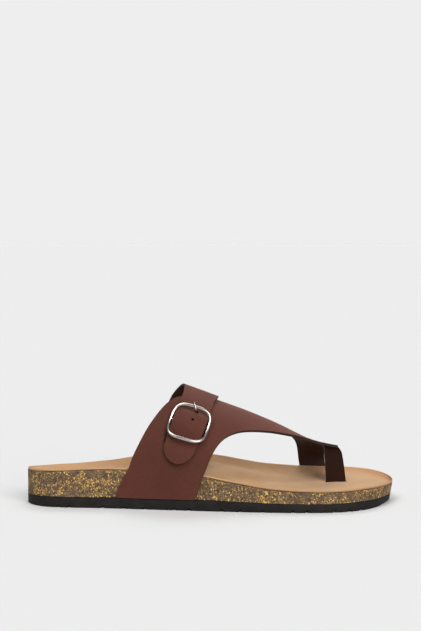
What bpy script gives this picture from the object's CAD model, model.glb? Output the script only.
"""Looks of a leather toe post sandal on a cork footbed, a right shoe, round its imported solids.

Metres. +X runs from heel to toe, +Y to the inner side of the foot, +Z up, and the sole stands on Z = 0.
"""

import bisect
import math
from collections import namedtuple

import bmesh
import bpy
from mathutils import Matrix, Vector


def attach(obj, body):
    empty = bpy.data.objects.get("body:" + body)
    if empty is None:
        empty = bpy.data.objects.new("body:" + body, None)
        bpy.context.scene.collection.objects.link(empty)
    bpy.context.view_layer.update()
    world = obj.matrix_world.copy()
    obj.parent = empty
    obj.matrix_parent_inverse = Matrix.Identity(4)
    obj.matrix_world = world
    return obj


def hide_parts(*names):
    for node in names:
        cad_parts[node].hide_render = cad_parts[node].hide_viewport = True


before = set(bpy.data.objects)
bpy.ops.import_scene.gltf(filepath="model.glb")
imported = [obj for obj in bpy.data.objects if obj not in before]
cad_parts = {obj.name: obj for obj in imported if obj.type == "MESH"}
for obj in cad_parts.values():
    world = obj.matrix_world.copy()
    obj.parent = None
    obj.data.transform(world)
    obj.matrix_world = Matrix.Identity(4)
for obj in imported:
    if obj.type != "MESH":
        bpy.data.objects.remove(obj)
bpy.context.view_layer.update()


# Studio: a pale floor that runs out of sight, a backdrop of its tone, and a dome of soft light with three
# lamps: one high on the left, a wider and lower one to the right, and one high behind. The camera stands
# about a metre from the outer side, a little above the shoe.
FLOOR_HALF = 40.0
FLOOR_COLOUR = (0.63, 0.63, 0.63, 1.0)
BACKDROP_COLOUR = (0.855, 0.855, 0.855, 1.0)
DOME_LEVEL = 0.36
Lamp = namedtuple("Lamp", "toward full_within gone_beyond strength")
LAMPS = (
    Lamp((-0.30, -0.45, 0.84), 5, 18, 11.3),
    Lamp((0.40, -0.78, 0.48), 8, 28, 8.2),
    Lamp((0.05, 0.55, 0.83), 6, 22, 5.5),
)
CAMERA_PLACE = (-0.0003, -1.1, 0.19243)
CAMERA_DOWN_DEG = 2.976
CAMERA_LENS = 86.95


def feed(tree, node, inputs):
    """Gives each of these inputs of a node a plain value or the output of another node."""
    for name, value in inputs.items():
        if isinstance(value, bpy.types.NodeSocket):
            tree.links.new(value, node.inputs[name])
        else:
            node.inputs[name].default_value = value


def add_node(tree, kind, inputs, **settings):
    """New shader node with these inputs and settings."""
    node = tree.nodes.new(kind)
    for name, value in settings.items():
        setattr(node, name, value)
    feed(tree, node, inputs)
    return node


def calculate(tree, operation, *values):
    """Result of one step of arithmetic."""
    return add_node(tree, "ShaderNodeMath", dict(enumerate(values)), operation=operation).outputs[0]


def remap(tree, value, before=(0.0, 1.0), after=(0.0, 1.0), smooth=False):
    """The value carried over from one span to another, and held at its ends."""
    inputs = {"Value": value}
    inputs["From Min"], inputs["From Max"] = before
    inputs["To Min"], inputs["To Max"] = after
    kind = "SMOOTHSTEP" if smooth else "LINEAR"
    return add_node(tree, "ShaderNodeMapRange", inputs, interpolation_type=kind).outputs["Result"]


def new_material(name):
    """Empty material with its Principled shader, as (material, node tree, shader)."""
    material = bpy.data.materials.new(name)
    material.use_nodes = True
    tree = material.node_tree
    return material, tree, tree.nodes["Principled BSDF"]


def show(name, data):
    """Puts a mesh or a camera in the scene."""
    shown = bpy.data.objects.new(name, data)
    bpy.context.scene.collection.objects.link(shown)
    return shown


def light_studio():
    world = bpy.data.worlds.new("studio_dome")
    world.use_nodes = True
    bpy.context.scene.world = world
    tree = world.node_tree
    tree.nodes.clear()
    toward = add_node(tree, "ShaderNodeTexCoord", {}).outputs["Generated"]
    level = DOME_LEVEL
    for lamp in LAMPS:
        facing = add_node(
            tree, "ShaderNodeVectorMath",
            {0: toward, 1: Vector(lamp.toward).normalized()}, operation="DOT_PRODUCT",
        ).outputs["Value"]
        span = [math.cos(math.radians(angle)) for angle in (lamp.gone_beyond, lamp.full_within)]
        glow = remap(tree, facing, span, (0.0, lamp.strength), smooth=True)
        level = calculate(tree, "ADD", glow, level)
    dome = add_node(tree, "ShaderNodeBackground", {"Strength": level})
    backdrop = add_node(tree, "ShaderNodeBackground", {"Color": BACKDROP_COLOUR})
    seen = add_node(tree, "ShaderNodeLightPath", {}).outputs["Is Camera Ray"]
    both = add_node(
        tree, "ShaderNodeMixShader",
        {0: seen, 1: dome.outputs["Background"], 2: backdrop.outputs["Background"]},
    )
    add_node(tree, "ShaderNodeOutputWorld", {"Surface": both.outputs["Shader"]})


def lay_floor():
    mesh = bpy.data.meshes.new("floor")
    corners = [(x * FLOOR_HALF, y * FLOOR_HALF, 0.0) for x, y in ((-1, -1), (1, -1), (1, 1), (-1, 1))]
    mesh.from_pydata(corners, [], [(0, 1, 2, 3)])
    material, tree, shader = new_material("studio_floor")
    feed(tree, shader, {"Base Color": FLOOR_COLOUR, "Roughness": 1.0, "Specular IOR Level": 0.0})
    mesh.materials.append(material)
    floor = show("floor", mesh)


def set_camera():
    data = bpy.data.cameras.new("camera")
    data.lens = CAMERA_LENS
    camera = show("camera", data)
    camera.location = CAMERA_PLACE
    camera.rotation_euler = (math.radians(90 - CAMERA_DOWN_DEG), 0, 0)
    bpy.context.scene.camera = camera


light_studio()
lay_floor()
set_camera()
bpy.context.scene.view_settings.view_transform = "Standard"


# Outsole: one moulded sheet of near-black foam rubber, about 7 mm thick, glued under the cork.
# Zigzag grooves across its underside leave small notches along the lower edge of its sides.
# The ends turn up by a millimetre or less, and heel and ball stand flat on the floor.
MM = 0.001
LENGTH = 265 * MM
END_STATION = 0.025
# How far both ends turn up, and over which share of the half length
TOE_SPRING = 1.0 * MM
TOE_TURNS_UP = (0.90, 1.0)
HEEL_SPRING = 0.5 * MM
HEEL_TURNS_UP = (0.93, 1.0)
# The side slopes in under the toe, from this place on and below this height
TOE_TUCK = 2.7 * MM
TUCK_FROM = 100 * MM
TUCK_BELOW = 15.5 * MM
GROOVE_DEPTH = 1.5 * MM
GROOVE_HALF = 1.6 * MM
GROOVE_MARGIN = 1.15 * GROOVE_HALF
ZIGZAG = 3.0 * MM
ZIGZAG_FADES = (1.0, 0.84)
OUTSOLE_ROUND = 0.7 * MM
# Stations of the first and last ring of the sole's pieces, and how finely they are divided
SOLE_ENDS = (0.004, 0.996)
OUTSOLE_RINGS = 260
OUTSOLE_POINTS = 41
OUTSOLE_TOP_POINTS = 9
# Edges that turn by more than this stay sharp
SHARP_DEG = 42
GROOVES = (
    -108.5, -100.6, -77.0, -61.6, -47.0, -26.0, -15.6, 7.3,
    20.5, 35.8, 57.3, 67.0, 86.4, 97.0, 106.0,
)
GrooveMark = namedtuple("GrooveMark", "beside deep")
GROOVE_SHAPE = (
    GrooveMark(-1.0, 0.0), GrooveMark(-0.86, 0.12), GrooveMark(-0.62, 0.55), GrooveMark(-0.34, 0.92),
    GrooveMark(0.0, 1.0),
    GrooveMark(0.34, 0.92), GrooveMark(0.62, 0.55), GrooveMark(0.86, 0.12), GrooveMark(1.0, 0.0),
)
# at is 0 at the heel end and 1 at the toe end, closer together near both ends; the rest is in mm
OutlineRow = namedtuple("OutlineRow", "at lateral medial outsole")
OUTLINE = (
    OutlineRow(0.00, 2.0, 2.0, 6.4),
    OutlineRow(0.05, -8.0, 12.0, 6.8),
    OutlineRow(0.10, -16.0, 20.5, 7.1),
    OutlineRow(0.15, -22.5, 28.0, 7.3),
    OutlineRow(0.20, -26.0, 32.5, 7.5),
    OutlineRow(0.30, -29.0, 35.5, 7.5),
    OutlineRow(0.40, -35.3, 36.0, 7.5),
    OutlineRow(0.45, -38.5, 36.5, 7.5),
    OutlineRow(0.50, -42.0, 37.5, 7.5),
    OutlineRow(0.55, -45.0, 39.7, 7.1),
    OutlineRow(0.60, -47.2, 42.6, 6.4),
    OutlineRow(0.65, -48.4, 45.5, 6.0),
    OutlineRow(0.70, -48.0, 46.9, 5.9),
    OutlineRow(0.75, -44.5, 46.6, 6.1),
    OutlineRow(0.80, -37.0, 44.0, 6.3),
    OutlineRow(0.85, -26.0, 38.5, 6.0),
    OutlineRow(0.90, -12.5, 30.5, 5.8),
    OutlineRow(0.95, -1.5, 20.0, 5.6),
    OutlineRow(1.00, 7.0, 7.0, 5.5),
)


def curve_through(places, values):
    """Function of place for the smooth curve through these values, which never overshoots them."""
    steps = [b - a for a, b in zip(places, places[1:])]
    slopes = [(b - a) / step for a, b, step in zip(values, values[1:], steps)]
    leans = [slopes[0]]
    for i in range(1, len(slopes)):
        if slopes[i - 1] * slopes[i] <= 0:
            leans.append(0.0)
            continue
        near = 2 * steps[i] + steps[i - 1]
        far = steps[i] + 2 * steps[i - 1]
        leans.append((near + far) / (near / slopes[i - 1] + far / slopes[i]))
    leans.append(slopes[-1])

    def value(place):
        place = min(max(place, places[0]), places[-1])
        i = min(bisect.bisect_right(places, place) - 1, len(steps) - 1)
        t = (place - places[i]) / steps[i]
        start = (1 + 2 * t) * values[i] + t * steps[i] * leans[i]
        end = (3 - 2 * t) * values[i + 1] + (t - 1) * steps[i] * leans[i + 1]
        return (1 - t) ** 2 * start + t * t * end

    return value


def column_curve(rows, key, name, unit):
    return curve_through([getattr(row, key) for row in rows], [getattr(row, name) * unit for row in rows])


def spread(low, high, count):
    return [low + (high - low) * i / (count - 1) for i in range(count)]


def ease(low, high, value):
    t = min(max((value - low) / (high - low), 0.0), 1.0)
    return t * t * (3 - 2 * t)


def along_of(at):
    return -LENGTH / 2 * math.cos(math.pi * at) / math.cos(math.pi * END_STATION)


def station_of(along):
    ratio = -along * math.cos(math.pi * END_STATION) / (LENGTH / 2)
    return math.acos(min(max(ratio, -1.0), 1.0)) / math.pi


lateral_edge = column_curve(OUTLINE, "at", "lateral", MM)
medial_edge = column_curve(OUTLINE, "at", "medial", MM)
outsole_top = column_curve(OUTLINE, "at", "outsole", MM)


def floor_height(along):
    """Underside of the outsole between the grooves."""
    reach = along / (LENGTH / 2)
    return TOE_SPRING * ease(*TOE_TURNS_UP, reach) + HEEL_SPRING * ease(*HEEL_TURNS_UP, -reach)


def add_piece(name, points, faces, *materials):
    """Mesh object of these points and faces, shaded smooth but for its sharp edges."""
    mesh = bpy.data.meshes.new(name)
    mesh.from_pydata([tuple(p) for p in points], [], faces)
    work = bmesh.new()
    work.from_mesh(mesh)
    bmesh.ops.recalc_face_normals(work, faces=work.faces)
    work.to_mesh(mesh)
    work.free()
    mesh.shade_smooth()
    mesh.set_sharp_from_angle(angle=math.radians(SHARP_DEG))
    for material in materials:
        mesh.materials.append(material)
    return show(name, mesh)


def add_loft(name, rings, *materials):
    """Closed piece through rings of equal count, with a flat face at each end."""
    count = len(rings[0])
    points = [p for ring in rings for p in ring]
    faces = [tuple(range(count))]
    for i in range(len(rings) - 1):
        for j in range(count):
            k = (j + 1) % count
            faces.append((i * count + j, (i + 1) * count + j, (i + 1) * count + k, i * count + k))
    faces.append(tuple(range(len(points) - 1, len(points) - count - 1, -1)))
    return add_piece(name, points, faces, *materials)


def dress(piece, node):
    """The piece stands for the solid of that name, in its place, with that finish."""
    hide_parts(node)
    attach(piece, "root")


def surface_place(tree):
    return add_node(tree, "ShaderNodeTexCoord", {}).outputs["Object"]


def noise(tree, place, scale, detail):
    inputs = {"Vector": place, "Scale": scale, "Detail": detail}
    return add_node(tree, "ShaderNodeTexNoise", inputs).outputs[0]


def mix_colours(tree, share, first, second):
    """Colour between two, by the share of the second."""
    inputs = {"Factor": share, 6: first, 7: second}
    return add_node(tree, "ShaderNodeMix", inputs, data_type="RGBA").outputs[2]


def relief(tree, height, strength, depth):
    """Normal of a surface with this fine height on it."""
    inputs = {"Height": height, "Strength": strength, "Distance": depth}
    return add_node(tree, "ShaderNodeBump", inputs).outputs["Normal"]


def tone_group():
    """Two tones of one colour in soft patches with a finer speckle, for anything dyed or moulded."""
    tree = bpy.data.node_groups.new("soft_tones", "ShaderNodeTree")
    for name, kind in (
        ("Light", "NodeSocketColor"), ("Dark", "NodeSocketColor"),
        ("Patches", "NodeSocketFloat"), ("Speckle", "NodeSocketFloat"),
    ):
        tree.interface.new_socket(name, in_out="INPUT", socket_type=kind)
    tree.interface.new_socket("Colour", in_out="OUTPUT", socket_type="NodeSocketColor")
    tree.interface.new_socket("Grain", in_out="OUTPUT", socket_type="NodeSocketFloat")
    given = add_node(tree, "NodeGroupInput", {}).outputs
    place = surface_place(tree)
    patches = noise(tree, place, given["Patches"], 3.0)
    speckle = noise(tree, place, given["Speckle"], 2.0)
    mottle = calculate(tree, "MULTIPLY_ADD", speckle, 0.4, patches)
    share = remap(tree, mottle, before=(0.5, 0.9))
    colour = mix_colours(tree, share, given["Light"], given["Dark"])
    add_node(tree, "NodeGroupOutput", {"Colour": colour, "Grain": speckle})
    return tree


soft_tones = tone_group()


def tones_of(tree, light, dark, patches, speckle):
    """The soft tones with these two colours and this many patches and specks to the metre."""
    inputs = {"Light": light, "Dark": dark, "Patches": patches, "Speckle": speckle}
    return add_node(tree, "ShaderNodeGroup", inputs, node_tree=soft_tones).outputs


def foam_rubber():
    material, tree, shader = new_material("black_foam_rubber")
    tones = tones_of(
        tree, light=(0.0122, 0.0109, 0.0097, 1), dark=(0.0058, 0.0052, 0.0047, 1),
        patches=130.0, speckle=1700.0,
    )
    place = surface_place(tree)
    cells = add_node(tree, "ShaderNodeTexVoronoi", {"Vector": place, "Scale": 1500.0}).outputs["Distance"]
    height = calculate(tree, "MULTIPLY_ADD", cells, 0.6, tones["Grain"])
    feed(tree, shader, {
        "Base Color": tones["Colour"],
        "Roughness": remap(tree, tones["Grain"], after=(0.62, 0.86)),
        "Normal": relief(tree, height, strength=0.35, depth=0.00025),
        "Specular IOR Level": 0.2,
    })
    return material


def zigzag_of(across):
    """Triangle wave of two periods from the outer edge to the inner one."""
    turn = (across + 1) * 2 % 2
    swing = min(2 * (turn % 1), 2 - 2 * (turn % 1))
    return swing if turn < 1 else -swing


def tucked(x, y, z):
    """Point of the sole's side, which slopes in under the toe."""
    under = max(1 - z / TUCK_BELOW, 0.0)
    return Vector((x - TOE_TUCK * ease(TUCK_FROM, LENGTH / 2, x) * under, y, z))


def outsole_ring(x, depth):
    at = station_of(x)
    lateral = lateral_edge(at)
    medial = medial_edge(at)
    low = floor_height(x) + depth
    high = outsole_top(at)
    turn_in = min(OUTSOLE_ROUND, 0.25 * (medial - lateral))
    swing = ZIGZAG * ease(*ZIGZAG_FADES, abs(x) / (LENGTH / 2))
    ring = []
    for t in spread(-1, 1, OUTSOLE_POINTS):
        y = lateral + turn_in + (medial - lateral - 2 * turn_in) * (t + 1) / 2
        ring.append(tucked(x + swing * zigzag_of(t), y, low))
    side = []
    for turn in (30, 60, 90):
        bend = math.radians(turn)
        side.append((turn_in * (1 - math.sin(bend)), low + turn_in * (1 - math.cos(bend))))
    side.append((0.0, (low + high) / 2))
    for turn in (0, 45, 90):
        bend = math.radians(turn)
        side.append((0.5 * turn_in * (1 - math.cos(bend)), high - 0.5 * turn_in * (1 - math.sin(bend))))
    ring += [tucked(x, medial - inward, z) for inward, z in side]
    for t in spread(0.8, -0.8, OUTSOLE_TOP_POINTS):
        ring.append(tucked(x, (lateral + medial) / 2 + (medial - lateral) / 2 * t, high))
    ring += [tucked(x, lateral + inward, z) for inward, z in reversed(side)]
    return ring


def build_outsole():
    grooves = [g * MM for g in GROOVES]
    marks = [(along_of(at), 0.0) for at in spread(*SOLE_ENDS, OUTSOLE_RINGS)]
    marks = [m for m in marks if all(abs(m[0] - g) > GROOVE_MARGIN for g in grooves)]
    for g in grooves:
        marks += [(g + m.beside * GROOVE_HALF, m.deep * GROOVE_DEPTH) for m in GROOVE_SHAPE]
    rings = [outsole_ring(x, depth) for x, depth in sorted(marks)]
    return add_loft("outsole_foam", rings, foam_rubber())


dress(build_outsole(), "outsole")


# Footbed: a block of pressed cork granules, moulded to a heel cup, an arch and a thin forefoot.
# Dark bark and golden grains show in its sealed sides, which are let in where leather lies on them.
# A slot goes down through it for the foot of the toe post.
# Room between neighbouring pieces
GAP = 0.3 * MM
LINING = 1.4 * MM
STRAP_SINK = 1.5 * MM
CORK_ROUND = 0.5 * MM
SOLE_RINGS = 240
FOOTBED_POINTS = 27
# Where leather lies on the sides, they go in over the first span and out over the second, in mm
OUTER_RECESS = ((-82, -73), (-1, 8))
STRAP_RECESS = ((-56, -46), (4, 13))
LOOP_RECESS = ((57, 65), (92, 100))
# How many granules, small crumbs and golden chips of cork lie side by side in a metre
GRANULES = 700.0
CRUMBS = 1900.0
CHIPS = 1250.0
# Heights of both rims above the floor and depth of the dish, in mm
BedRow = namedtuple("BedRow", "at rim_lateral rim_medial cup")
BED = (
    BedRow(0.00, 25.3, 25.3, 0.0),
    BedRow(0.05, 25.6, 24.2, 1.5),
    BedRow(0.10, 26.1, 23.4, 3.5),
    BedRow(0.15, 26.8, 22.9, 5.0),
    BedRow(0.20, 27.3, 22.9, 6.0),
    BedRow(0.30, 28.8, 24.9, 7.0),
    BedRow(0.40, 28.7, 30.0, 7.5),
    BedRow(0.45, 27.0, 31.0, 7.0),
    BedRow(0.50, 24.4, 29.6, 5.5),
    BedRow(0.55, 20.8, 25.6, 4.5),
    BedRow(0.60, 17.6, 21.9, 4.4),
    BedRow(0.65, 16.1, 20.0, 4.6),
    BedRow(0.70, 15.5, 19.2, 4.8),
    BedRow(0.75, 15.6, 18.9, 4.8),
    BedRow(0.80, 15.9, 18.5, 4.4),
    BedRow(0.85, 15.7, 18.0, 3.9),
    BedRow(0.90, 15.2, 17.2, 3.4),
    BedRow(0.95, 15.1, 16.3, 2.3),
    BedRow(1.00, 15.5, 15.5, 0.0),
)
# Pad behind the ball of the foot
PAD_RISE = 4.0 * MM
PAD_MIDDLE = 9.0 * MM
PAD_HALF_LONG = 38.0 * MM
PAD_HALF_WIDE = 28.0 * MM
lateral_rim = column_curve(BED, "at", "rim_lateral", MM)
medial_rim = column_curve(BED, "at", "rim_medial", MM)
cup_depth = column_curve(BED, "at", "cup", MM)


def recess(x, spans):
    return ease(*spans[0], x) - ease(*spans[1], x)


def sunk_edges(at):
    """Edges of the cork, let in where leather lies against its sides."""
    x = along_of(at) / MM
    outer = recess(x, OUTER_RECESS)
    inner = recess(x, STRAP_RECESS) + recess(x, LOOP_RECESS)
    return lateral_edge(at) + STRAP_SINK * outer, medial_edge(at) - STRAP_SINK * inner


def swell(offset):
    """Soft mound of height 1 over the offsets from -1 to 1."""
    return max(0.0, 1 - offset * offset) ** 2


def bed_line(at):
    """Function for the height of the insole's top from -1 at its outer edge to 1 at its inner one."""
    lateral = lateral_rim(at)
    medial = medial_rim(at)
    cup = cup_depth(at)
    outer = lateral_edge(at)
    inner = medial_edge(at)
    pad = PAD_RISE * swell((along_of(at) - PAD_MIDDLE) / PAD_HALF_LONG)

    def height(t):
        y = outer + (inner - outer) * (t + 1) / 2
        level = lateral + (medial - lateral) * (t + 1) / 2
        return level - cup * (1 - abs(t) ** 3) + pad * swell(y / PAD_HALF_WIDE)

    return height


def stirred_place(tree, place, scale, detail, reach):
    """Place on the surface, shifted by noise so that cells there get uneven outlines."""
    stir = add_node(tree, "ShaderNodeTexNoise", {"Vector": place, "Scale": scale, "Detail": detail})
    return add_node(
        tree, "ShaderNodeVectorMath",
        {0: stir.outputs["Color"], 1: (reach, reach, reach), 2: place}, operation="MULTIPLY_ADD",
    ).outputs[0]


def cell_values(tree, place, scale):
    """Three random values for each cell."""
    cells = add_node(tree, "ShaderNodeTexVoronoi", {"Vector": place, "Scale": scale}).outputs["Color"]
    return add_node(tree, "ShaderNodeSeparateColor", {0: cells}).outputs


def seam_distance(tree, place, scale):
    """Distance from the nearest seam between cells."""
    inputs = {"Vector": place, "Scale": scale}
    return add_node(tree, "ShaderNodeTexVoronoi", inputs, feature="DISTANCE_TO_EDGE").outputs["Distance"]


def ramp(tree, value, first, last, middle=None):
    """Colour that runs from the first to the last as the value goes from 0 to 1."""
    node = add_node(tree, "ShaderNodeValToRGB", {0: value})
    stops = node.color_ramp.elements
    stops[0].color = first
    stops[1].color = last
    if middle is not None:
        stops.new(0.5).color = middle
    return node.outputs["Color"]


def scaled(tree, colour, factor):
    """Colour made lighter or darker."""
    return add_node(tree, "ShaderNodeVectorMath", {0: colour, "Scale": factor}, operation="SCALE").outputs[0]


def cork():
    material, tree, shader = new_material("pressed_cork")
    place = surface_place(tree)
    stirred = stirred_place(tree, place, scale=900.0, detail=3.0, reach=0.0011)
    grain = cell_values(tree, stirred, GRANULES)
    crumb = cell_values(tree, stirred, CRUMBS)
    chip = cell_values(tree, stirred, CHIPS)
    bark = ramp(
        tree, grain[0], first=(0.066, 0.0415, 0.0250, 1), last=(0.157, 0.100, 0.0545, 1),
        middle=(0.109, 0.069, 0.0385, 1),
    )
    toned = scaled(tree, bark, remap(tree, crumb[0], after=(0.60, 1.40)))

    # golden grains lie in loose clusters, large ones among small ones
    clusters = noise(tree, place, 140.0, 2.0)
    flecks = 0.0
    for pick, least in ((chip[0], 1.17), (crumb[1], 1.21)):
        chance = calculate(tree, "MULTIPLY_ADD", clusters, 0.6, pick)
        flecks = calculate(tree, "MAXIMUM", flecks, remap(tree, chance, before=(least, least + 0.05)))
    gold = ramp(tree, chip[1], first=(0.33, 0.165, 0.027, 1), last=(0.64, 0.43, 0.150, 1))

    seams = calculate(tree, "MINIMUM", seam_distance(tree, stirred, GRANULES), 0.15)
    height = calculate(tree, "MULTIPLY_ADD", grain[0], 0.25, seams)
    feed(tree, shader, {
        "Base Color": mix_colours(tree, flecks, toned, gold),
        "Roughness": remap(tree, crumb[2], after=(0.60, 0.88)),
        "Normal": relief(tree, height, strength=0.4, depth=0.0005),
        "Specular IOR Level": 0.2,
    })
    return material


def footbed_ring(at):
    x = along_of(at)
    lateral, medial = sunk_edges(at)
    low = outsole_top(at) + GAP
    height = bed_line(at)
    turn_in = min(CORK_ROUND, 0.2 * (medial - lateral))
    ring = []
    for t in spread(-1, 1, FOOTBED_POINTS):
        y = lateral + turn_in + (medial - lateral - 2 * turn_in) * (t + 1) / 2
        ring.append(tucked(x, y, height(t) - LINING - GAP))
    for y, top, inward in ((medial, ring[-1].z, -1), (lateral, ring[0].z, 1)):
        side = []
        for turn in (45, 90):
            bend = math.radians(turn)
            over = turn_in * (1 - math.sin(bend))
            side.append(tucked(x, y + inward * over, top - turn_in * (1 - math.cos(bend))))
        for share in (0.8, 0.6, 0.4, 0.2, 0.0):
            side.append(tucked(x, y, low + (top - turn_in - low) * share))
        ring += side if inward < 0 else side[::-1]
    return ring


def build_footbed():
    rings = [footbed_ring(at) for at in spread(*SOLE_ENDS, SOLE_RINGS)]
    return add_loft("footbed_cork", rings, cork())


footbed = build_footbed()
dress(footbed, "footbed")


# Insole: a sheet of tan suede, 1.4 mm, glued into the dish of the cork with its napped side up.
# Its pale cut edge shows as a thin line above the cork all round.
# The toe post goes down through a slot in it.
INSOLE_POINTS = 57


def suede():
    material, tree, shader = new_material("tan_suede")
    tones = tones_of(
        tree, light=(0.49, 0.298, 0.164, 1), dark=(0.397, 0.228, 0.114, 1),
        patches=42.0, speckle=900.0,
    )
    place = surface_place(tree)
    combed = add_node(tree, "ShaderNodeMapping", {"Vector": place, "Scale": (900.0, 2600.0, 2600.0)})
    nap = add_node(
        tree, "ShaderNodeTexNoise",
        {"Vector": combed.outputs[0], "Scale": 1.0, "Detail": 4.0, "Roughness": 0.65},
    ).outputs[0]
    napped = scaled(tree, tones["Colour"], remap(tree, nap, after=(0.80, 1.18)))

    # the nap stands up and looks paler on the raised pad, and is pressed and warmer on the dish's walls
    to_pad = add_node(
        tree, "ShaderNodeMapping",
        {"Vector": place, "Location": (-0.011, -0.010, 0.0), "Scale": (1.0, 1.0, 0.0)},
    ).outputs[0]
    reach = add_node(tree, "ShaderNodeVectorMath", {0: to_pad}, operation="LENGTH").outputs["Value"]
    paler = scaled(tree, napped, remap(tree, reach, (0.085, 0.020), (0.92, 1.22), smooth=True))
    lie = add_node(tree, "ShaderNodeNewGeometry", {}).outputs["Normal"]
    level = add_node(tree, "ShaderNodeSeparateXYZ", {0: lie}).outputs["Z"]
    forward = add_node(tree, "ShaderNodeSeparateXYZ", {0: place}).outputs["X"]
    most = remap(tree, forward, (-0.010, 0.050), (0.15, 0.75), smooth=True)
    pressed = remap(tree, level, (0.996, 0.940), (0.0, most), smooth=True)
    feed(tree, shader, {
        "Base Color": mix_colours(tree, pressed, paler, (0.36, 0.175, 0.070, 1)),
        "Normal": relief(tree, nap, strength=0.3, depth=0.0003),
        "Roughness": 0.95,
        "Specular IOR Level": 0.15,
        "Sheen Weight": 0.25,
        "Sheen Roughness": 0.5,
        "Sheen Tint": (0.95, 0.80, 0.62, 1),
    })
    return material


def insole_ring(at):
    x = along_of(at) * (1 - 2 * GAP / LENGTH)
    lateral, medial = sunk_edges(at)
    half = min(LINING / 2, 0.2 * (medial - lateral))
    lateral += min(GAP, 0.5 * half) + half
    medial -= min(GAP, 0.5 * half) + half
    height = bed_line(at)
    top = []
    under = []
    for t in spread(-1, 1, INSOLE_POINTS):
        y = lateral + (medial - lateral) * (t + 1) / 2
        top.append(Vector((x, y, height(t))))
        under.append(Vector((x, y, height(t) - 2 * half)))
    ring = top
    for edge, outward in ((top[-1], 1), (top[0], -1)):
        rim = []
        for turn in (30, 60, 90, 120, 150):
            bend = math.radians(turn)
            rim.append(edge + Vector((0, outward * half * math.sin(bend), -half * (1 - math.cos(bend)))))
        ring = ring + rim + under[::-1] if outward > 0 else ring + rim[::-1]
    return ring


def build_insole():
    rings = [insole_ring(at) for at in spread(*SOLE_ENDS, SOLE_RINGS)]
    return add_loft("insole_suede", rings, suede())


insole = build_insole()
dress(insole, "insole")


# Upper: one piece of dark reddish brown leather, 1.8 mm with its dark lining, cut in a single shape.
# It rises from the outsole up the cork's outer side, sweeps over the instep as a wing and ends in two legs
# at the big toe: a loop down the inner side of the sole and the toe post. Its cut edges are painted dark.
LEATHER = 1.8 * MM
# Edges that turn by more than this angle are rounded by this much
EDGE_DEG = 50
EDGE_ROUND = 0.35 * MM
# Which of the leather's three finishes the lining and the cut edges have
LINED = 1
PAINTED = 2
# Cross lines to each row of the table, and how often the sheet is divided again
UPPER_STEPS = 2
UPPER_FINENESS = 2
# The post leaves the wing flat, rolls over and goes down to its foot
POST_FLAT = 2.4 * MM
POST_ROLL = 3.0 * MM
ROLL_POINTS = 3
DROP_POINTS = 5
# The post leans forward by this much between the insole's top and its foot
POST_LEAN = 0.6 * MM
POST_CLEARANCE = 0.3 * MM
SLOT_BOTTOM = 2.0 * MM
SLOT_DEPTH = 12.0 * MM
# How far the toe loop's front edge swings towards the toe behind the post, in mm, over which of the
# cross lines the swing sets in, and over which share of each line
LOOP_SWING = 1.8
SWING_LINES = (18.5, 21)
SWING_SHARE = (0.05, 0.14)
ACROSS = (0.0, 0.034, 0.13, 0.25, 0.36, 0.47, 0.58, 0.69, 0.80, 0.90, 1.0)
# Height of the ridge that the leather lies on, and how far across the ridge runs, in mm
LastRow = namedtuple("LastRow", "along top ridge")
LAST = (
    LastRow(-75, 97.0, 3.0),
    LastRow(-50, 91.0, 4.0),
    LastRow(-22, 82.0, 5.0),
    LastRow(6, 71.8, 8.0),
    LastRow(21, 66.3, 10.0),
    LastRow(36, 60.2, 11.0),
    LastRow(50, 54.1, 10.0),
    LastRow(60, 49.5, 5.0),
    LastRow(70, 45.3, -1.0),
    LastRow(80, 42.3, -5.0),
    LastRow(90, 40.1, -6.0),
    LastRow(100, 38.2, -6.0),
)
# Cross lines from the front edge to the rear edge, in the order in which the leather runs.
# Girth is -1 at the foot of the outer side, 0 at its rim, 1 on the ridge, 2 at the inner rim, 3 at its foot.
UpperRow = namedtuple("UpperRow", "front_along front_girth rear_along rear_girth")
UPPER = (
    UpperRow(-11.0, -1.00, -68.0, -1.00),
    UpperRow(-8.4, -0.51, -64.5, -0.60),
    UpperRow(-5.4, -0.04, -60.4, -0.20),
    UpperRow(-2.0, 0.11, -56.4, 0.05),
    UpperRow(0.8, 0.20, -51.2, 0.17),
    UpperRow(4.3, 0.29, -44.4, 0.32),
    UpperRow(8.3, 0.37, -38.4, 0.44),
    UpperRow(13.4, 0.442, -32.7, 0.56),
    UpperRow(20.6, 0.520, -26.2, 0.68),
    UpperRow(29.2, 0.588, -17.0, 0.80),
    UpperRow(38.6, 0.656, -4.0, 0.95),
    UpperRow(44.0, 0.698, 11.0, 1.07),
    UpperRow(49.6, 0.738, 26.0, 1.15),
    UpperRow(54.0, 0.777, 40.5, 1.22),
    UpperRow(58.0, 0.824, 53.0, 1.29),
    UpperRow(62.6, 0.884, 61.6, 1.40),
    UpperRow(67.4, 0.955, 65.2, 1.64),
    UpperRow(71.6, 1.006, 67.0, 2.08),
    UpperRow(75.0, 1.043, 68.4, 3.00),
    UpperRow(77.2, 1.063, 75.3, 3.00),
    UpperRow(79.2, 1.077, 82.3, 3.00),
    UpperRow(81.0, 1.090, 88.4, 3.00),
)
# A lower power lets a column of the post lean forward sooner on its way down
PostColumn = namedtuple("PostColumn", "along_top girth_top along_foot start power")
POST = (
    PostColumn(82.0, 1.095, 84.9, 0.0, 0.6),
    PostColumn(85.6, 1.115, 88.4, 0.0, 0.68),
    PostColumn(88.7, 1.128, 91.9, 0.0, 0.8),
    PostColumn(91.2, 1.137, 95.0, 0.6, 1.0),
    PostColumn(92.8, 1.140, 96.8, 2.6, 1.0),
    PostColumn(93.7, 1.141, 98.3, 5.2, 0.9),
    PostColumn(93.0, 1.142, 99.5, 8.6, 0.44),
)
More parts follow.
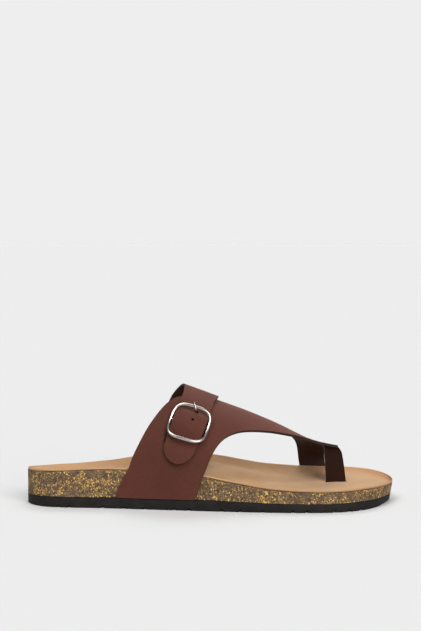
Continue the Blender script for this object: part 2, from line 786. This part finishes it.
# Slit in the outer side, close behind the strap below the buckle: its two ends on the last
SLIT_ENDS = ((-30.6, 0.33), (-32.9, 0.215))
SLIT_WIDTH = 1.3 * MM
# How far a cutter reaches out of the leather's middle on both sides
CUT_REACH = 3 * MM
last_top = column_curve(LAST, "along", "top", MM)
last_ridge = column_curve(LAST, "along", "ridge", MM)


def last_point(along, girth):
    """Middle of the leather at a place along (mm) and round (girth) the last."""
    x = along * MM
    at = station_of(x)
    stand_off = GAP + LEATHER / 2 - STRAP_SINK
    lateral = lateral_edge(at) - stand_off
    medial = medial_edge(at) + stand_off
    foot = outsole_top(at) + GAP
    top = last_top(along)
    ridge = last_ridge(along)
    if girth < 0:
        rim = lateral_rim(at)
        return Vector((x, lateral, rim + girth * (rim - foot)))
    if girth <= 1:
        rim = lateral_rim(at)
        turn = girth * math.pi / 2
        return Vector((x, ridge + (lateral - ridge) * math.cos(turn), rim + (top - rim) * math.sin(turn)))
    rim = medial_rim(at)
    if girth <= 2:
        turn = (2 - girth) * math.pi / 2
        return Vector((x, ridge + (medial - ridge) * math.cos(turn), rim + (top - rim) * math.sin(turn)))
    return Vector((x, medial, rim + (2 - girth) * (rim - foot)))


def last_slopes(along, girth):
    step = 0.01
    by_along = (last_point(along + step, girth) - last_point(along - step, girth)) / (2 * step)
    by_girth = (last_point(along, girth + step) - last_point(along, girth - step)) / (2 * step)
    return by_along, by_girth


def last_normal(along, girth):
    by_along, by_girth = last_slopes(along, girth)
    return by_along.cross(by_girth).normalized()


def grain_group():
    """Fine pebbles with creases between them, for the grain side of leather."""
    tree = bpy.data.node_groups.new("leather_pebbles", "ShaderNodeTree")
    tree.interface.new_socket("Pebbles", in_out="INPUT", socket_type="NodeSocketFloat")
    tree.interface.new_socket("Height", in_out="OUTPUT", socket_type="NodeSocketFloat")
    tree.interface.new_socket("Crease", in_out="OUTPUT", socket_type="NodeSocketFloat")
    given = add_node(tree, "NodeGroupInput", {}).outputs
    place = surface_place(tree)
    stirred = stirred_place(tree, place, scale=450.0, detail=2.0, reach=0.0008)
    seams = seam_distance(tree, stirred, given["Pebbles"])
    dome = remap(tree, seams, before=(0.0, 0.25), smooth=True)
    pores = noise(tree, place, 3200.0, 1.0)
    height = calculate(tree, "MULTIPLY_ADD", pores, 0.35, dome)
    crease = calculate(tree, "SUBTRACT", 1.0, dome)
    add_node(tree, "NodeGroupOutput", {"Height": height, "Crease": crease})
    return tree


leather_pebbles = grain_group()


def brown_leather():
    material, tree, shader = new_material("brown_leather")
    tones = tones_of(
        tree, light=(0.0920, 0.0310, 0.0218, 1), dark=(0.0786, 0.0263, 0.0185, 1),
        patches=45.0, speckle=600.0,
    )
    pebbles = add_node(tree, "ShaderNodeGroup", {"Pebbles": 1150.0}, node_tree=leather_pebbles).outputs
    deep = remap(tree, pebbles["Crease"], after=(1.0, 0.80))
    feed(tree, shader, {
        "Base Color": scaled(tree, tones["Colour"], deep),
        "Roughness": remap(tree, pebbles["Crease"], after=(0.44, 0.62)),
        "Normal": relief(tree, pebbles["Height"], strength=0.22, depth=0.00012),
        "Specular IOR Level": 0.05,
        "Sheen Weight": 0.36,
        "Sheen Roughness": 0.45,
        "Sheen Tint": (0.78, 0.37, 0.29, 1),
    })
    return material


def dark_lining():
    material, tree, shader = new_material("dark_lining")
    tones = tones_of(
        tree, light=(0.056, 0.0300, 0.0245, 1), dark=(0.039, 0.0195, 0.0155, 1),
        patches=60.0, speckle=1400.0,
    )
    # the dye is deeper where the lining is turned outwards on the toe post
    inward = add_node(tree, "ShaderNodeSeparateXYZ", {0: surface_place(tree)}).outputs["Y"]
    pale = remap(tree, inward, (0.010, 0.018), (0.12, 1.0))
    feed(tree, shader, {
        "Base Color": mix_colours(tree, pale, (0.0165, 0.0054, 0.0031, 1), tones["Colour"]),
        "Roughness": remap(tree, tones["Grain"], after=(0.45, 0.7)),
        "Normal": relief(tree, tones["Grain"], strength=0.2, depth=0.0002),
        "Specular IOR Level": 0.04,
    })
    return material


def painted_edge():
    material, tree, shader = new_material("painted_edge")
    tones = tones_of(
        tree, light=(0.022, 0.012, 0.009, 1), dark=(0.010, 0.006, 0.005, 1),
        patches=300.0, speckle=2200.0,
    )
    feed(tree, shader, {
        "Base Color": tones["Colour"],
        "Normal": relief(tree, tones["Grain"], strength=0.3, depth=0.0002),
        "Roughness": 0.5,
        "Specular IOR Level": 0.25,
    })
    return material


leather_faces = (brown_leather(), dark_lining(), painted_edge())


def thicken(piece, fineness):
    """Turns a coarse sheet into leather: smoothed, given its thickness, and its cut edges rounded."""
    finer = piece.modifiers.new("finer", "SUBSURF")
    finer.levels = fineness
    finer.render_levels = fineness
    wall = piece.modifiers.new("wall", "SOLIDIFY")
    wall.thickness = LEATHER
    wall.offset = 0.0
    wall.material_offset = LINED
    wall.material_offset_rim = PAINTED
    rounded = piece.modifiers.new("rounded", "BEVEL")
    rounded.width = EDGE_ROUND
    rounded.segments = 2
    rounded.limit_method = "ANGLE"
    rounded.angle_limit = math.radians(EDGE_DEG)
    rounded.harden_normals = True


def add_sheet(name, points, quads):
    """Sheet of quads that face away from the foot, with the leather's three finishes."""
    mesh = bpy.data.meshes.new(name)
    mesh.from_pydata([tuple(p) for p in points], [], quads)
    mesh.shade_smooth()
    for material in leather_faces:
        mesh.materials.append(material)
    return show(name, mesh)


def post_points(column):
    """Middle of the toe post's leather, from the wing's edge over a roll down to its foot."""
    top = last_point(column.along_top, column.girth_top)
    foot_x = column.along_foot * MM
    foot_z = outsole_top(station_of(foot_x)) + GAP
    start = column.start * MM
    depth = top.z - foot_z
    rolled = POST_FLAT + POST_ROLL * math.pi / 2
    end = rolled + depth - POST_ROLL
    places = [0.0]
    places += spread(POST_FLAT, rolled, ROLL_POINTS)
    places += spread(rolled, end, DROP_POINTS)[1:]
    points = []
    for place in places:
        place = start + place * (end - start) / end
        bend = min(max((place - POST_FLAT) / POST_ROLL, 0.0), math.pi / 2)
        across = min(place, POST_FLAT) + POST_ROLL * math.sin(bend)
        down = POST_ROLL * (1 - math.cos(bend)) + max(place - rolled, 0.0)
        lean = (down / depth) ** column.power
        points.append(Vector((top.x + (foot_x - top.x) * lean, top.y + across, top.z - down)))
    return points


def build_upper():
    index = list(range(len(UPPER)))
    lines = [curve_through(index, [row[c] for row in UPPER]) for c in range(4)]
    points = []
    quads = []
    rows = len(ACROSS)
    steps = (len(UPPER) - 1) * UPPER_STEPS
    for k in range(steps + 1):
        front_along, front_girth, rear_along, rear_girth = (line(k / UPPER_STEPS) for line in lines)
        swing = LOOP_SWING * ease(*SWING_LINES, k / UPPER_STEPS)
        for q in ACROSS:
            along = front_along + (rear_along - front_along) * q + swing * ease(*SWING_SHARE, q)
            points.append(last_point(along, front_girth + (rear_girth - front_girth) * q))
    for i in range(steps):
        for j in range(rows - 1):
            a = i * rows + j
            quads.append((a, a + rows, a + rows + 1, a + 1))
    # the toe post hangs from the front of the same sheet, joined by its first row
    previous = steps * rows
    for number, column in enumerate(POST):
        start = len(points)
        points += post_points(column)
        for j in range(1 if number == 0 else len(points) - start - 1):
            quads.append((previous + j, start + j, start + j + 1, previous + j + 1))
        previous = start
    return add_sheet("upper_leather", points, quads)


def painted_cutter(cutter):
    """Gives the leather dark painted edges where this cuts it."""
    for face in cutter.data.polygons:
        face.material_index = PAINTED
    return cutter


def slit_cutter():
    """Flat bar through the outer side where the slit is."""
    ends = [last_point(along, girth) for along, girth in SLIT_ENDS]
    outward = last_normal(*SLIT_ENDS[0])
    down = (ends[1] - ends[0]).normalized()
    side = down.cross(outward).normalized() * SLIT_WIDTH / 2
    reach = outward * CUT_REACH
    points = []
    for end in ends:
        points += [end - side - reach, end + side - reach, end + side + reach, end - side + reach]
    faces = [(0, 1, 2, 3), (7, 6, 5, 4)]
    faces += [(j, j + 4, (j + 1) % 4 + 4, (j + 1) % 4) for j in range(4)]
    return painted_cutter(add_piece("slit_cutter", points, faces, *leather_faces))


def combine(piece, other, operation):
    """Cuts another piece out of this one or joins it on, and keeps the shape that all its modifiers give."""
    modifier = piece.modifiers.new(other.name, "BOOLEAN")
    modifier.operation = operation
    modifier.solver = "EXACT"
    modifier.object = other
    depsgraph = bpy.context.evaluated_depsgraph_get()
    mesh = bpy.data.meshes.new_from_object(piece.evaluated_get(depsgraph))
    piece.modifiers.clear()
    piece.data = mesh
    bpy.data.objects.remove(other)


upper = build_upper()
thicken(upper, UPPER_FINENESS)
combine(upper, slit_cutter(), "DIFFERENCE")
dress(upper, "upper")


def post_slot(name):
    """Bar that follows the toe post's foot with a little room round it, to cut its slot."""
    feet = [post_points(column)[-1] for column in POST]
    side = LEATHER / 2 + POST_CLEARANCE
    places = [(foot.x, foot.y) for foot in feet]
    places[0] = (feet[0].x - POST_CLEARANCE - POST_LEAN, feet[0].y)
    places[-1] = (feet[-1].x + POST_CLEARANCE, feet[-1].y)
    outline = [(x, y - side) for x, y in places]
    outline += [(x, y + side) for x, y in reversed(places)]
    count = len(outline)
    heights = (SLOT_BOTTOM, feet[0].z + SLOT_DEPTH)
    points = [Vector((x, y, z)) for z in heights for x, y in outline]
    faces = [tuple(range(count - 1, -1, -1)), tuple(range(count, 2 * count))]
    faces += [(j, (j + 1) % count, (j + 1) % count + count, j + count) for j in range(count)]
    return add_piece(name, points, faces)


for piece in (footbed, insole):
    combine(piece, post_slot(piece.name + "_slot"), "DIFFERENCE")


# Instep strap: a leather strap from the outsole up the cork's inner side, over the instep and down through
# the buckle on the outer side, where it rides up over the middle bar. Its tip is cut round, and
# two small holes are punched in it, one of them for the prong.
STRAP_BULGE = 3.5 * MM
BULGE_HALF = 13.5 * MM
STRAP_TIP_LENGTH = 11.0 * MM
STRAP_TIP_LEAST = 0.16
STRAP_FINENESS = 3
STRAP_ACROSS = (-1.0, -0.60, -0.30, -0.06, 0.45, 1.0)
PRONG_HOLE = (-11.6 * MM, -8.8 * MM)
SPARE_HOLE = (-2.4 * MM, -1.6 * MM)
SPARE_HOLE_RADIUS = 1.0 * MM
SPARE_HOLE_SIDES = 20
# Cross lines of the strap: back from its tip, past the buckle's middle, and evenly on to its foot, in mm
TIP_LINES = (0.0, 0.5, 1.6, 3.2, 5.4, 8.0, 11.0)
BUCKLE_LINES = (16, 13.5, 11.4, 8.8, 6, 3, 0, -3, -6, -8.8, -10.2, -11.6, -13.5, -16, -20)
FOOT_LINES_FROM = -25
FOOT_LINES = 17
STRAP_BUCKLE_ROW = 7
LINE_STEPS = 24
WAY_STEP = 0.05
# Middle line of the strap from the inner side of the sole to its tip, half width and lift in mm
StrapRow = namedtuple("StrapRow", "along girth half lift")
STRAP = (
    StrapRow(-22.0, 3.00, 22.5, 0.0),
    StrapRow(-21.0, 2.50, 21.5, 0.0),
    StrapRow(-19.5, 2.00, 19.5, 0.0),
    StrapRow(-15.7, 1.55, 17.6, 0.6),
    StrapRow(-10.6, 1.25, 14.8, 2.6),
    StrapRow(-7.9, 1.00, 13.5, 3.4),
    StrapRow(-9.7, 0.78, 11.4, 2.1),
    StrapRow(-15.5, 0.415, 11.8, 2.1),
    StrapRow(-20.1, 0.25, 11.2, 2.2),
    StrapRow(-25.6, 0.07, 10.9, 3.4),
)
strap_index = list(range(len(STRAP)))
strap_along = curve_through(strap_index, [row.along for row in STRAP])
strap_girth = curve_through(strap_index, [row.girth for row in STRAP])
strap_half = curve_through(strap_index, [row.half * MM for row in STRAP])
strap_lift = curve_through(strap_index, [row.lift * MM for row in STRAP])


def strap_line():
    """Length along the strap from the buckle's middle to its tip or foot, against the place in the table."""
    places = [k / LINE_STEPS for k in range((len(STRAP) - 1) * LINE_STEPS + 1)]
    points = [last_point(strap_along(at), strap_girth(at)) for at in places]
    lengths = [0.0]
    for a, b in zip(points, points[1:]):
        lengths.append(lengths[-1] + (b - a).length)
    zero = lengths[STRAP_BUCKLE_ROW * LINE_STEPS]
    return places, [length - zero for length in lengths]


strap_places, strap_lengths = strap_line()
strap_place_at = curve_through(strap_lengths, strap_places)


def strap_ways(at):
    """Directions down the strap, across it towards the toe, and out of it."""
    ahead = last_point(strap_along(at + WAY_STEP), strap_girth(at + WAY_STEP))
    ahead = ahead - last_point(strap_along(at - WAY_STEP), strap_girth(at - WAY_STEP))
    normal = last_normal(strap_along(at), strap_girth(at))
    ahead = (ahead - normal * ahead.dot(normal)).normalized()
    return ahead, ahead.cross(normal), normal


def strap_point(length, across):
    """Middle of the strap's leather at a length along it and a distance across it."""
    at = strap_place_at(length)
    along = strap_along(at)
    girth = strap_girth(at)
    sideways = strap_ways(at)[1] * across
    by_along, by_girth = last_slopes(along, girth)
    aa = by_along.dot(by_along)
    ag = by_along.dot(by_girth)
    gg = by_girth.dot(by_girth)
    scale = aa * gg - ag * ag
    along += (sideways.dot(by_along) * gg - sideways.dot(by_girth) * ag) / scale
    girth += (sideways.dot(by_girth) * aa - sideways.dot(by_along) * ag) / scale
    girth = min(max(girth, -1.0), 3.0)
    lift = strap_lift(at)
    if abs(length) < BULGE_HALF:
        lift += STRAP_BULGE * (1 + math.cos(math.pi * length / BULGE_HALF)) / 2
    return last_point(along, girth) + last_normal(along, girth) * lift


def build_strap():
    foot = strap_lengths[0]
    tip = strap_lengths[-1]
    lengths = [tip - d * MM for d in TIP_LINES]
    lengths += [d * MM for d in BUCKLE_LINES]
    lengths += spread(FOOT_LINES_FROM * MM, foot, FOOT_LINES)
    points = []
    for length in lengths:
        half = strap_half(strap_place_at(length))
        if tip - length < STRAP_TIP_LENGTH:
            part = 1 - (tip - length) / STRAP_TIP_LENGTH
            half *= max(math.sqrt(max(1 - part * part, 0.0)), STRAP_TIP_LEAST)
        points += [strap_point(length, half * q) for q in STRAP_ACROSS]
    count = len(STRAP_ACROSS)
    quads = []
    for i in range(len(lengths) - 1):
        middle = (lengths[i] + lengths[i + 1]) / 2
        for j in range(count - 1):
            if j == count // 2 - 1 and PRONG_HOLE[0] < middle < PRONG_HOLE[1]:
                continue
            a = i * count + j
            quads.append((a, a + count, a + count + 1, a + 1))
    return add_sheet("instep_strap_leather", points, quads)


def tube_rings(path, radii, sides, closed):
    """Rings of a round wire along a path, carried along without twist."""
    count = len(path)
    rings = []
    side = None
    for i, (point, radius) in enumerate(zip(path, radii)):
        before = path[i - 1] if closed or i > 0 else point
        after = path[(i + 1) % count] if closed or i < count - 1 else point
        ahead = (after - before).normalized()
        side = ahead.orthogonal() if side is None else side
        side = (side - ahead * side.dot(ahead)).normalized()
        up = ahead.cross(side)
        turns = [2 * math.pi * k / sides for k in range(sides)]
        rings.append([point + (side * math.cos(t) + up * math.sin(t)) * radius for t in turns])
    return rings


def spare_hole():
    """Round bar through the strap where the hole is."""
    middle = strap_point(*SPARE_HOLE)
    outward = strap_ways(strap_place_at(SPARE_HOLE[0]))[2] * CUT_REACH
    path = [middle - outward, middle + outward]
    rings = tube_rings(path, [SPARE_HOLE_RADIUS] * len(path), SPARE_HOLE_SIDES, False)
    return painted_cutter(add_loft("spare_hole", rings, *leather_faces))


strap = build_strap()
thicken(strap, STRAP_FINENESS)
combine(strap, spare_hole(), "DIFFERENCE")
dress(strap, "instep_strap")


# Buckle frame: a rounded square of polished wire, 2.3 mm thick, bowed a little to follow the foot,
# with a straight middle bar under the strap. The strap passes under the frame and over the bar.
# The wire is nickel plated, with fine wear marks from handling.
WIRE = 1.15 * MM
BAR = 1.0 * MM
BUCKLE_LONG = 13.2 * MM
BUCKLE_WIDE = 13.5 * MM
BUCKLE_SQUARE = 3.6
BUCKLE_RISE = 2.0 * MM
BUCKLE_BOW = 2.5 * MM
FRAME_STEPS = 176
WIRE_SIDES = 20


def buckle_ways():
    """Middle of the buckle on the outer face of the upper, and its directions down, across and out."""
    down, across, out = strap_ways(STRAP_BUCKLE_ROW)
    row = STRAP[STRAP_BUCKLE_ROW]
    return last_point(row.along, row.girth) + out * LEATHER / 2, down, across, out


def polished_wire():
    material, tree, shader = new_material("polished_wire")
    place = surface_place(tree)
    smears = noise(tree, place, 260.0, 3.0)
    rubs = noise(tree, place, 2600.0, 2.0)
    feed(tree, shader, {
        "Base Color": mix_colours(tree, smears, (0.60, 0.550, 0.500, 1), (0.40, 0.36, 0.32, 1)),
        "Roughness": remap(tree, smears, (0.3, 0.75), (0.10, 0.26)),
        "Normal": relief(tree, rubs, strength=0.06, depth=0.0001),
        "Metallic": 1.0,
    })
    return material


buckle_metal = polished_wire()


def build_frame():
    middle, down, across, out = buckle_ways()
    centre = middle + out * BUCKLE_RISE
    path = []
    for k in range(FRAME_STEPS):
        turn = 2 * math.pi * k / FRAME_STEPS
        powers = abs(math.cos(turn)) ** BUCKLE_SQUARE + abs(math.sin(turn)) ** BUCKLE_SQUARE
        reach = powers ** (-1 / BUCKLE_SQUARE)
        path.append(
            centre
            + down * BUCKLE_LONG * reach * math.cos(turn)
            + across * BUCKLE_WIDE * reach * math.sin(turn)
            + out * BUCKLE_BOW * (reach * math.cos(turn)) ** 2
        )
    rings = tube_rings(path, [WIRE] * FRAME_STEPS, WIRE_SIDES, True)
    points = [p for ring in rings for p in ring]
    faces = []
    for i in range(FRAME_STEPS):
        a = i * WIRE_SIDES
        b = (i + 1) % FRAME_STEPS * WIRE_SIDES
        for k in range(WIRE_SIDES):
            m = (k + 1) % WIRE_SIDES
            faces.append((a + k, b + k, b + m, a + m))
    frame_piece = add_piece("buckle_frame_wire", points, faces, buckle_metal)
    reach = across * BUCKLE_WIDE
    rings = tube_rings([centre - reach, centre + reach], [BAR, BAR], WIRE_SIDES, False)
    combine(frame_piece, add_loft("buckle_bar", rings, buckle_metal), "UNION")
    return frame_piece


dress(build_frame(), "buckle_frame")


# Buckle prong: a thin wire pin on the middle bar, up through the strap's hole and over the top of the frame.
# It is of the same polished metal as the frame, and its tip is rounded.
PRONG = 0.65 * MM
PRONG_SIDES = 14
PRONG_STEPS = 8
PRONG_TIP_STEP = 0.34 * PRONG
# Middle line from the bar to the tip, in mm from the buckle's middle
ProngPoint = namedtuple("ProngPoint", "down aside rise")
PRONG_LINE = (
    ProngPoint(-1.9, -2.2, 1.9),
    ProngPoint(-4.0, -2.2, 1.35),
    ProngPoint(-6.0, -2.2, 0.7),
    ProngPoint(-7.6, -2.2, 0.25),
    ProngPoint(-8.9, -2.1, 0.5),
    ProngPoint(-9.9, -2.0, 2.2),
    ProngPoint(-10.6, -1.7, 4.4),
    ProngPoint(-11.7, -1.1, 6.1),
    ProngPoint(-13.2, -0.2, 6.5),
    ProngPoint(-15.3, 1.1, 6.1),
)


def build_prong():
    middle, down, across, out = buckle_ways()
    index = list(range(len(PRONG_LINE)))
    lines = [curve_through(index, [p[c] * MM for p in PRONG_LINE]) for c in range(3)]
    path = []
    for k in range((len(PRONG_LINE) - 1) * PRONG_STEPS + 1):
        low, aside, rise = (line(k / PRONG_STEPS) for line in lines)
        path.append(middle + down * low + across * aside + out * rise)
    radii = [PRONG] * len(path)
    ahead = (path[-1] - path[-2]).normalized()
    for turn in (30, 60, 80):
        bend = math.radians(turn)
        path.append(path[-1] + ahead * PRONG_TIP_STEP)
        radii.append(PRONG * math.cos(bend))
    return add_loft("buckle_prong_wire", tube_rings(path, radii, PRONG_SIDES, False), buckle_metal)


dress(build_prong(), "buckle_prong")
